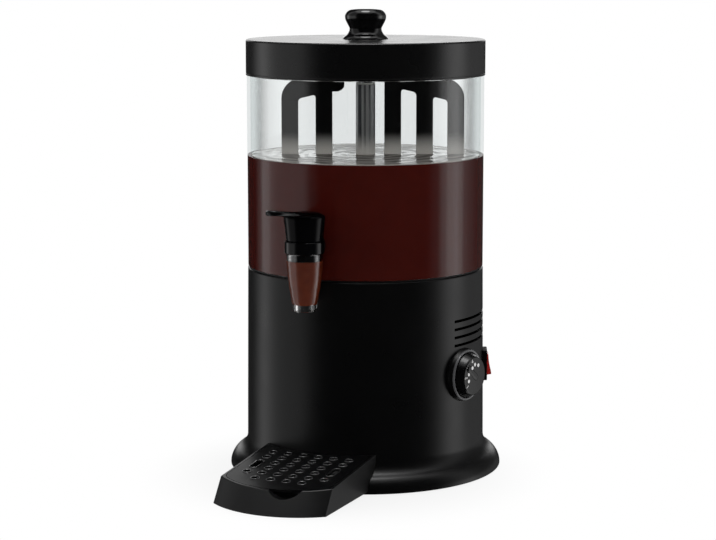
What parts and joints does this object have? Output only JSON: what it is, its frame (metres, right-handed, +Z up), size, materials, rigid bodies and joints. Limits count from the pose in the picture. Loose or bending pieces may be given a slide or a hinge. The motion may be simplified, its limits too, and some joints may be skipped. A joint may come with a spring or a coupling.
{
  "type": "hot chocolate dispenser",
  "caption": "Round heated drink dispenser: clear tank with lid, stirrer and centre column on a black flared body with lever tap, drip tray, dial and rocker switch.",
  "frame": {"origin": "centre of the bounding box on the surface that the feet stand on", "axes": "+Z up along the stirrer's shaft, -Y towards the tap and the drip tray, +X towards the dial when seen from the front"},
  "size_m": [0.2784, 0.3838, 0.4669],
  "materials": {
    "satin_black": "satin",
    "gloss_black": "gloss",
    "rubber": "matte",
    "clear_plastic": "clear polycarbonate",
    "steel": "brushed",
    "screw_steel": "zinc plated",
    "aluminium": "cast and machined",
    "silicone": "matte, off white silicone",
    "gearbox_grey": "moulded",
    "terminal_white": "moulded nylon",
    "bush_white": "moulded acetal",
    "switch_red": "translucent red, gloss"
  },
  "bodies": {
    "base": {"housing": "satin_black", "base_plate": "satin_black", "base_screw_1": "screw_steel", "base_screw_2": "screw_steel", "base_screw_3": "screw_steel", "base_screw_4": "screw_steel", "foot_1": "rubber", "foot_2": "rubber", "foot_3": "rubber", "foot_4": "rubber", "heating_plate": "aluminium", "heating_element": "steel", "heat_shield": "steel", "seat_gasket": "silicone", "motor": "steel", "motor_bracket": "steel", "gearbox": "gearbox_grey", "dial_bezel": "satin_black", "thermostat_body": "steel", "switch_housing": "satin_black", "cord_gland": "satin_black", "terminal_block": "terminal_white"},
    "shaft": {"drive_shaft": "steel"},
    "tank": {"tank": "clear_plastic", "tank_floor": "steel", "floor_seal": "silicone", "centre_column": "steel", "column_nut": "steel", "column_seal": "silicone", "shaft_bush": "bush_white", "tap_body": "gloss_black", "tap_spout": "clear_plastic", "tap_outer_washer": "rubber", "tap_inner_washer": "silicone", "tap_nut": "gloss_black"},
    "lid": {"lid": "satin_black", "lid_knob": "gloss_black", "lid_knob_screw": "screw_steel"},
    "stirrer": {"stirrer": "satin_black"},
    "lever": {"tap_lever": "gloss_black", "lever_pin": "steel"},
    "plunger": {"tap_plunger": "gloss_black", "plunger_seal": "silicone", "tap_spring": "steel"},
    "dial": {"dial_knob": "satin_black"},
    "rocker": {"switch_rocker": "switch_red"},
    "tray": {"drip_tray": "satin_black"},
    "grille": {"tray_grille": "satin_black"}
  },
  "joints": [
    {"name": "shaft_spin", "type": "hinge", "parent": "base", "child": "shaft", "pos_m": [0, 0.0527, 0.15], "axis": [0, 0, 1], "continuous": true},
    {"name": "tank_lift", "type": "slide", "parent": "base", "child": "tank", "axis": [0, 0, 1], "range_m": [0, 0.22]},
    {"name": "stirrer_spin", "type": "hinge", "parent": "tank", "child": "stirrer", "pos_m": [0, 0.0527, 0.4], "axis": [0, 0, 1], "continuous": true},
    {"name": "lid_lift", "type": "slide", "parent": "tank", "child": "lid", "axis": [0, 0, 1], "range_m": [0, 0.1]},
    {"name": "lever_pull", "type": "hinge", "parent": "tank", "child": "lever", "pos_m": [0, -0.108, 0.2496], "axis": [1, 0, 0], "range_deg": [0, 12], "stiffness_Nm_per_rad": 0.5, "springref_deg": -11.46},
    {"name": "plunger_lift", "type": "slide", "parent": "tank", "child": "plunger", "axis": [0, 0, 1], "range_m": [0, 0.0036], "deforming": ["tap_spring"]},
    {"name": "dial_turn", "type": "hinge", "parent": "base", "child": "dial", "pos_m": [0.12388, 0.02637, 0.1062], "axis": [-0.9781, 0.2079, 0], "range_deg": [0, 270]},
    {"name": "rocker_press", "type": "hinge", "parent": "base", "child": "rocker", "pos_m": [0.11476, 0.09907, 0.1039], "axis": [-0.3746, 0.9272, 0], "range_deg": [0, 18]},
    {"name": "tray_pull", "type": "slide", "parent": "base", "child": "tray", "axis": [0, -1, 0], "range_m": [0, 0.12]},
    {"name": "grille_lift", "type": "slide", "parent": "tray", "child": "grille", "axis": [0, 0, 1], "range_m": [0, 0.04]}
  ],
  "couplings": [
    {"joint": "stirrer_spin", "follows": "shaft_spin", "ratio": 1},
    {"joint": "plunger_lift", "follows": "lever_pull", "m_per_rad": 0.0162}
  ]
}
